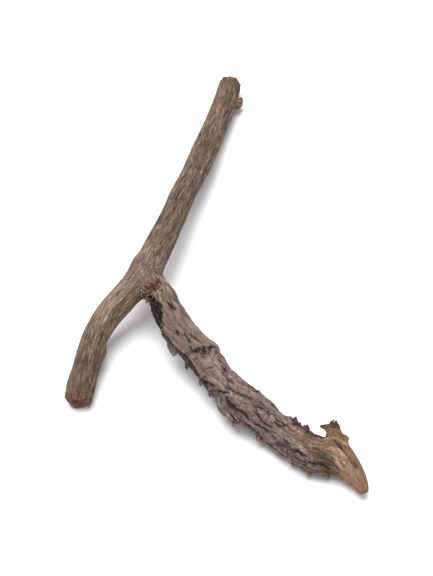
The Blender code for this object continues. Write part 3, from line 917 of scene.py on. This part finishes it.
def slabs(name, top, bottom, grain, layers):
    """Thin closed pieces, each from two grids of points: quads cover both, and a band joins their borders.
    Both grids keep the same grain and layers. All arrays go by piece, row and column."""
    count, rows, columns, _ = top.shape
    size = rows * columns
    number = np.arange(size).reshape(rows, columns)
    quads = np.stack([number[:-1, :-1], number[:-1, 1:], number[1:, 1:], number[1:, :-1]], axis=-1)
    quads = quads.reshape(-1, 4)
    loop = np.concatenate([number[0, :-1], number[:-1, -1], number[-1, :0:-1], number[:0:-1, 0]])
    after = np.roll(loop, -1)
    band = np.stack([after, loop, loop + size, after + size], axis=-1)
    faces = np.concatenate([quads, quads[:, ::-1] + size, band])
    faces = faces[None] + 2 * size * np.arange(count)[:, None, None]
    points = np.stack([top, bottom], axis=1)
    made = mesh_object(name, points.reshape(-1, 3), faces.reshape(-1, 4).tolist())
    work = bmesh.new()
    work.from_mesh(made.data)
    bmesh.ops.recalc_face_normals(work, faces=work.faces)
    work.to_mesh(made.data)
    work.free()
    both = {layer: np.stack([value, value], axis=1) for layer, value in layers.items()}
    set_layers(made, np.stack([grain, grain], axis=1), both)
    return made


def flakes(name, limb, table, seed, rows, columns, layers, thickest=0.5):
    """Bark flakes on a limb. A flake's height off the skin grows as its run to the power 1.4, from a root
    sunk in the skin to its lifted tip. Its half width is the root of 1 - 0.55 run⁵, its border is jagged, and
    its sides curl."""
    rng = np.random.default_rng(seed)
    count = len(table)
    at, turn, length, width, lift, heading = np.array(table, float).T[:, :, None, None]
    run = np.linspace(0, 1, rows)[None, :, None]
    side = np.linspace(-1, 1, columns)[None, None, :]
    border = rng.uniform(-1, 1, (count, rows, 1)) * side + rng.uniform(-1, 1, (count, rows, 1))
    tip = rng.uniform(-1, 1, (count, 1, columns))
    forward = length * run * (1 + 0.14 * tip - 0.16 * side**2)
    sideways = width / 2 * np.sqrt(1 - 0.55 * run**5) * (side + 0.1 * border * run)
    way = np.radians(heading)
    along = at + np.cos(way) * forward - np.sin(way) * sideways
    swing = np.sin(way) * forward + np.cos(way) * sideways
    around = np.radians(turn) + swing / np.interp(at, limb.along, limb.radius)
    curl = rng.uniform(-0.12, 0.16, (count, 1, 1)) * side**2 * run * width / 2
    uneven = 0.08 * rng.uniform(-1, 1, (count, rows, columns)) * run * np.minimum(width, 2)
    height = lift * run**1.4 - FLAKE_SUNK * (1 - run) + curl + uneven
    thick = np.minimum(thickest, 0.35 * width) * (1 - 0.5 * run)
    top = limb.surface(along, around, lift=height)
    bottom = limb.surface(along, around, lift=height - thick)
    run = np.broadcast_to(run, along.shape)
    grain = grain_vector(along, around, GRAIN_RADIUS, FORK_ALONG if limb is side_root else 0)
    kept = {layer: value(run, along, around) for layer, value in layers.items()}
    return slabs(name, top, bottom, grain, kept)


def scatter(seed, count, *ranges):
    """Rows of random numbers, one for each range."""
    rng = np.random.default_rng(seed)
    return np.stack([rng.uniform(low, high, count) for low, high in ranges], axis=-1)


def ones(run, along, around):
    return np.ones_like(run)


# Painted shade: each big flake is darker towards its root, where it meets the bark, and the flakes near the
# ledge on the lower flank are darker still
big = flakes("big_flakes", side_root, BIG_FLAKES, 91, 9, 11, {
    "on_side": ones,
    "smooth": lambda run, along, around: 1.0 * (along < 30),
    "dark": lambda run, along, around: 0.35 * (1 - run) + 0.4 * (abs(along - 29) < 5),
    "rust_and_shade": lambda run, along, around: (along < 34) * ease((0.8 - run) / 0.4),
}, BIG_THICKNESS)
finish(big, bark)
small_table = scatter(92, 120, (31, 64), (50, 235), (1.0, 2.0), (1.4, 2.8), (0.06, 0.24), (-40, 40))
on_bark = past_bark(small_table[:, 0], np.radians(small_table[:, 1])) < -2.5
# Painted shade: the small flakes darken towards their roots
small = flakes("small_flakes", side_root, small_table[on_bark], 93, 4, 5, {
    "on_side": ones,
    "dark": lambda run, along, around: 0.5 * (1 - run),
})
finish(small, bark)
# The scales in the scar hollow take its near-black colour, partly painted shade
scar_table = scatter(96, 54, (7.5, 16.5), (45, 135), (0.7, 1.4), (0.6, 1.3), (0.1, 0.4), (-70, 70))
scales = flakes("scar_scales", side_root, scar_table, 97, 4, 4, {"on_side": ones, "scar": ones})
finish(scales, bark)

# The dark rim. Above the bare patch the torn edge of the bark curled up and dried to a black, crumbly crust,
# which stands highest at two points. Its route is given by along, turn and height off the skin.
RIM_ROUTE = (
    (50.8, -56, 0.1),
    (51.8, -59, 0.6),
    (52.5, -60, 1.35),
    (53.1, -59, 0.8),
    (54.2, -58, 0.95),
    (55.4, -54, 0.75),
    (56.2, -50, 1.3),
    (57.0, -48, 0.7),
    (58.6, -46, 0.5),
    (60.4, -45, 0.45),
    (62.2, -46, 0.15),
)
RIM_THICKNESS = 0.6
RIM_SUNK = 0.4


def crust(name, limb, route, thick, seed, rows=9, columns=110):
    """A thin wall along a route on a limb: columns follow the route, rows rise from under the skin. Its faces
    are uneven, its top is ragged, and it thins from foot to top."""
    at, turn, rise = np.array(route).T
    knots = np.linspace(0, 1, len(route))
    step = np.linspace(0, 1, columns)[None, None, :]
    row = np.linspace(0, 1, rows)[None, :, None]
    along = np.interp(step, knots, at) + 0 * row
    around = np.radians(np.interp(step, knots, turn)) + 0 * row
    ragged = 0.7 * lattice(along, 0 * along, seed, 0.5, 3)
    ragged += 0.5 * lattice(along, 0 * along, seed + 1, 0.23, 3)
    tall = np.interp(step, knots, rise) * (1 + 0.45 * ragged)
    lift = (tall + RIM_SUNK) * row - RIM_SUNK
    uneven = 0.16 * lattice(along, row * TURN * 0.9, seed + 2, 0.5, 7)
    half = thick / 2 * (1 - 0.6 * row**2)
    radius = np.interp(along, limb.along, limb.radius)
    lean = 0.35 * tall * row**2 + uneven
    near = limb.surface(along, around + (lean + half) / radius, lift=lift)
    far = limb.surface(along, around + (lean - half) / radius, lift=lift - 0.1 * row)
    layers = {"on_side": 1 + 0 * along, "dark": np.clip(0.85 + 1.25 * uneven, 0, 1)}
    return slabs(name, near, far, grain_vector(along, around + lift, GRAIN_RADIUS, FORK_ALONG), layers)


finish(crust("dark_rim", side_root, RIM_ROUTE, RIM_THICKNESS, 141), bark)
rim_table = scatter(94, 26, (51.6, 61), (-66, -44), (0.6, 1.2), (0.6, 1.2), (0.15, 0.5), (-90, 90))
rim = flakes("rim_crumbs", side_root, rim_table, 95, 4, 4, {"on_side": ones, "dark": ones})
finish(rim, bark)

# Scraps in the crotch. A ring of torn, reddish scar tissue is left where the side root grew out, with a few
# pale curled fibres hanging from it. The nub near the upper end is a bud that dried before it grew. Lumps
# are given by along, turn, radius and lift.
LUMPS = (
    (7.2, -2, 0.8, -0.2),
    (7.4, 26, 0.9, -0.1),
    (8.4, 44, 0.7, -0.1),
    (7.0, 62, 0.9, 0.0),
    (8.5, 80, 0.7, 0.0),
)
BUD = ((6.5, -100, 1.2, 0.4), (7.6, -98, 0.8, 0.5), (5.7, -92, 0.7, 0.7))


def closed_tubes(name, places, outer=1):
    """Closed tubes: quads between rings of points, and a flat face on each end. `places` goes by tube, ring,
    side and x, y, z. Where rings run the other way round, `outer` is -1."""
    count, rings, sides, _ = places.shape
    number, _, quads = rings_of(rings, sides)
    if outer < 0:
        quads = quads[:, [0, 3, 2, 1]]
    shifts = rings * sides * np.arange(count)[:, None]
    faces = (quads[None] + shifts[:, None]).reshape(-1, 4).tolist()
    faces += (number[0, ::-outer] + shifts).tolist() + (number[-1, ::outer] + shifts).tolist()
    return mesh_object(name, places.reshape(-1, 3), faces)


def lumps(name, limb, table, seed, rows=18, columns=26):
    """Lumps on a limb: spheres whose radius swells by random relief of two sizes, sunk half in the skin."""
    at, turn, size, lift = np.array(table, float).T[:, :, None]
    centre = limb.surface(at, np.radians(turn), lift=lift)[:, :, None, :]
    tilt = np.linspace(0.02, math.pi - 0.02, rows)[None, :, None]
    around = np.linspace(0, TURN, columns, endpoint=False)[None, None, :]
    shift = 3.0 * np.arange(len(table))[:, None, None]
    swell = 1 + 0.3 * lattice(tilt * 2 + shift, around + 0 * tilt, seed, 1, 6)
    swell = swell + 0.22 * lattice(tilt * 6 + shift, around + 0 * tilt, seed + 1, 1, 15)
    flat = np.sin(tilt)
    ball = np.stack([flat * np.cos(around), flat * np.sin(around), np.cos(tilt) + 0 * around], axis=-1)
    return closed_tubes(name, centre + ball * (swell * size[..., None])[..., None], outer=-1)


def scrap_material(name, low, high, dark):
    """Torn, crumbly tissue: two colours mottled at two sizes over the piece."""
    paint = Paint(name)
    place = paint.node("ShaderNodeTexCoord", {}).outputs["Object"]
    place = paint.node("ShaderNodeVectorMath", {0: place, 1: (1 / MM,) * 3}, operation="MULTIPLY").outputs[0]
    grit = paint.noise(place, 4.0, 1, rough=0.65)
    colour = paint.tone(paint.noise(place, 1.1, 1, 4, 0.65), 0.4, 0.6, (low, high))
    paint.feed("Base Color", paint.over(colour, paint.spread(grit, 0.52, 0.62, (0, 0.7)), dark))
    paint.shader.inputs["Roughness"].default_value = 0.85
    paint.emboss(grit, 0.6, 0.12)
    return paint.material


red_scraps = scrap_material("reddish scar tissue", (74, 49, 41), (134, 107, 92), (42, 28, 24))
scrap_table = scatter(99, 40, (5.6, 9.0), (-6, 96), (0.8, 1.6), (0.6, 1.2), (0.1, 0.5), (-90, 90))
finish(flakes("crotch_scraps", side_root, scrap_table, 101, 5, 5, {}), red_scraps)
finish(lumps("crotch_lumps", side_root, LUMPS, 102), red_scraps)
dried_bud = scrap_material("dried bud", (104, 76, 64), (140, 110, 96), (60, 42, 36))
finish(lumps("bud", main_root, BUD, 104), dried_bud)


def fibres(name, paths, radii, sides=6):
    """Rings of points round each path, square to its run. `paths` goes by fibre, step and x, y, z."""
    run = Limb.unit(np.gradient(paths, axis=1))
    out = Limb.unit(np.cross(run, (0.31, 0.22, 0.92)))
    over = np.cross(run, out)
    turn = np.linspace(0, TURN, sides, endpoint=False)[:, None]
    rings = np.cos(turn) * out[:, :, None] + np.sin(turn) * over[:, :, None]
    return closed_tubes(name, paths[:, :, None] + rings * radii[:, :, None, None])


def fibres_on(limb, table, seed, steps=9):
    """Paths of fibres along a limb: they start in the skin, wander in turn, and lift off it by the square of
    their run. A row gives along, turn, length, lift and radius."""
    at, turn, length, lift, radius = np.array(table, float).T[:, :, None]
    run = np.linspace(0, 1, steps)[None, :]
    bend, wave, phase = np.random.default_rng(seed).uniform(-1, 1, (3, len(table), 1))
    around = np.radians(turn) + 0.35 * bend * run**2 + 0.07 * wave * np.sin(5 * run + 3 * phase)
    paths = limb.surface(at + length * run, around, lift=lift * run**2 - 0.12)
    return paths, radius * (1 - 0.75 * run**1.5)


def curls(limb, table, seed, steps=14):
    """Paths of curled fibres: arcs of circles that stand on the skin. A row gives along, turn, radius, lift
    and bend."""
    at, turn, size, lift, bend = np.array(table, float).T[:, :, None]
    first, second = np.random.default_rng(seed).normal(size=(2, len(table), 1, 3))
    first = Limb.unit(first)
    second = Limb.unit(second - first * (first * second).sum(axis=-1, keepdims=True))
    run = np.linspace(0, 1, steps)[None, :]
    angle = (run * np.radians(bend))[..., None]
    arc = size[..., None] * (np.cos(angle) * first + np.sin(angle) * second)
    thick = 0.11 * (1 - 0.6 * np.abs(2 * run - 1) ** 2)
    return limb.surface(at, np.radians(turn), lift=lift) + arc, thick + 0 * at


pale_fibre = scrap_material("pale fibre", (128, 112, 100), (168, 152, 138), (96, 78, 66))
curl_table = scatter(106, 16, (6.4, 9.2), (50, 112), (0.45, 0.9), (0.1, 0.6), (120, 260))
finish(fibres("crotch_curls", *curls(side_root, curl_table, 107)), pale_fibre)

# Torn fibres. Where the wood was torn, strands of it stand free: round both broken ends of the main root,
# and where the side root's bark gives way to the wedge.
brown_fibre = scrap_material("brown fibre", (84, 62, 48), (132, 102, 80), (52, 38, 32))
neck_table = scatter(111, 70, (56, 63.5), (10, 150), (1.2, 3.4), (0.05, 0.5), (0.07, 0.14))
finish(fibres("neck_fibres", *fibres_on(side_root, neck_table, 112)), brown_fibre)
end_at = main_root.length - 1.4
end_table = scatter(113, 46, (end_at - 0.6, end_at + 0.2), (-180, 180), (1.0, 2.0), (-0.7, 0.1), (0.07, 0.15))
finish(fibres("lower_end_fibres", *fibres_on(main_root, end_table, 114)), brown_fibre)
start_table = scatter(115, 36, (1.3, 1.8), (-180, 180), (-1.9, -1.0), (-0.7, 0.1), (0.07, 0.14))
finish(fibres("upper_end_fibres", *fibres_on(main_root, start_table, 116)), brown_fibre)

# The torn flap: a strip of outer wood that was pulled off the wedge and stayed fixed at its foot. It stands
# on edge across the limb, orange-brown, with a dark ragged rim. Its sides are given by height off the skin,
# and how far it reaches back and forward there.
FLAP_PLACE = (63.4, -51)
FLAP_SIDES = (
    (-1.0, -1.7, 3.4),
    (0.3, -1.7, 3.1),
    (0.9, -2.0, 2.7),
    (1.2, -2.3, 1.3),
    (1.5, -3.2, 1.1),
    (2.0, -3.3, 0.9),
    (2.3, -1.9, 0.7),
    (2.7, -1.4, 0.5),
    (3.4, -0.9, -0.3),
)
FLAP_THICKNESS = 0.8


def flap(name, limb, rows=22, columns=20):
    """The flap as a grid: rows go up from its foot, columns from its back edge to its front one, both read
    from the table. Its rim is ragged, its faces ripple along its strands, and it leans and cups a little."""
    heights, backs, fronts = np.array(FLAP_SIDES).T
    at, turn = np.array([FLAP_PLACE[0]]), np.radians([FLAP_PLACE[1]])
    foot = limb.surface(at, turn)[0]
    out = limb.unit(foot - limb.read(limb.centre, at)[0])
    forward = limb.read(limb.forward, at)[0]
    sideways = np.cross(forward, out)
    row = np.linspace(0, 1, rows)[None, :, None]
    column = np.linspace(0, 1, columns)[None, None, :]
    height = heights[0] + (heights[-1] - heights[0]) * row
    back = np.interp(height, heights, backs)
    front = np.interp(height, heights, fronts)
    fan = column * TURN * 0.9  # columns spread round the relief, short of its seam
    strand = lattice(1.2 * row + 0 * column, fan, 121, 1, 15)
    ragged = lattice(0 * row + 0 * column, fan, 122, 1, 17)
    height = height + row**3 * (0.45 * ragged + 0.25 * strand)
    edge = np.abs(2 * column - 1) ** 6
    frayed = edge * 0.3 * lattice(row * 9 + 0 * column, 0 * row + 3 * column, 123, 1, 5)
    across = back + (front - back) * column + frayed
    cup = 0.35 * (2 * column - 1) ** 2 * row + 0.25 * row**2
    ripple = 0.14 * strand + 0.08 * lattice(row * 8 + 0 * column, fan, 124, 1, 9)
    thick = FLAP_THICKNESS / 2 * (1 - 0.45 * row) * (1 - 0.5 * edge)
    middle = foot + across[..., None] * forward + height[..., None] * out + cup[..., None] * sideways
    near = middle + (thick + ripple)[..., None] * sideways
    far = middle - (thick - 0.5 * ripple)[..., None] * sideways
    grain = np.stack([1.4 * across, 0 * across, 3 * height + FORK_ALONG], axis=-1)
    rim = ease((row - 0.62 + 0.14 * ragged) / 0.3) + 0.6 * np.maximum(0, -strand)
    rim = 0.3 + rim + ease((row - 0.4) / 0.2) * ease((0.26 - column) / 0.2)
    whole = 1 + 0 * across
    return slabs(name, near, far, grain, {"on_side": whole, "wood": whole, "dark": np.clip(rim, 0, 1) * 0.9})


finish(flap("torn_flap", side_root), bark)

# The root lies on a plain pale floor. Soft light falls from above, a little from the left and from behind,
# and a pale surround fills the shadows, as in a light tent. Sizes from here on are in metres.
FLOOR_SIZE = 6.0
FLOOR_DROP = 0.00002  # under the root, so that the two never share a plane
LAMP_PLACE = (-0.3, 0.42, 1.89)
LAMP_SIZE = 1.65
LAMP_POWER = 59.4
LIT_PLACE = (0, -0.01, 0)  # the middle of the root
bpy.ops.mesh.primitive_plane_add(size=FLOOR_SIZE, location=(0, 0, -FLOOR_DROP))
floor = bpy.context.object
floor.name = "floor"
pale_floor = bpy.data.materials.new("pale floor")
pale_floor.use_nodes = True
pale_floor.node_tree.nodes["Principled BSDF"].inputs["Base Color"].default_value = (0.9, 0.9, 0.9, 1)
pale_floor.node_tree.nodes["Principled BSDF"].inputs["Roughness"].default_value = 0.9
floor.data.materials.append(pale_floor)

surround = bpy.data.worlds.new("surround")
surround.use_nodes = True
surround.node_tree.nodes["Background"].inputs["Color"].default_value = (1, 1, 1, 1)
surround.node_tree.nodes["Background"].inputs["Strength"].default_value = 0.62
bpy.context.scene.world = surround
bpy.context.scene.view_settings.view_transform = "Standard"

lamp = bpy.data.lights.new("key light", "AREA")
lamp.size = LAMP_SIZE
lamp.energy = LAMP_POWER
key_light = bpy.data.objects.new("key light", lamp)
key_light.location = LAMP_PLACE
away = np.array(LAMP_PLACE) - LIT_PLACE
tilt = math.acos(away[2] / np.linalg.norm(away))
key_light.rotation_euler = (tilt, 0, math.atan2(away[1], away[0]) + math.pi / 2)
bpy.context.scene.collection.objects.link(key_light)

# The camera looks down at 50 degrees from 0.3 m, close enough that the root fills most of the frame.
camera = bpy.data.objects.new("camera", bpy.data.cameras.new("camera"))
camera.location = (0.00077, -0.2025, 0.23381)
camera.rotation_euler = (math.radians(40), 0, 0)
camera.data.sensor_fit = "VERTICAL"
camera.data.sensor_height = 36
camera.data.lens = 82
camera.data.clip_start = 0.01
bpy.context.scene.collection.objects.link(camera)
bpy.context.scene.camera = camera
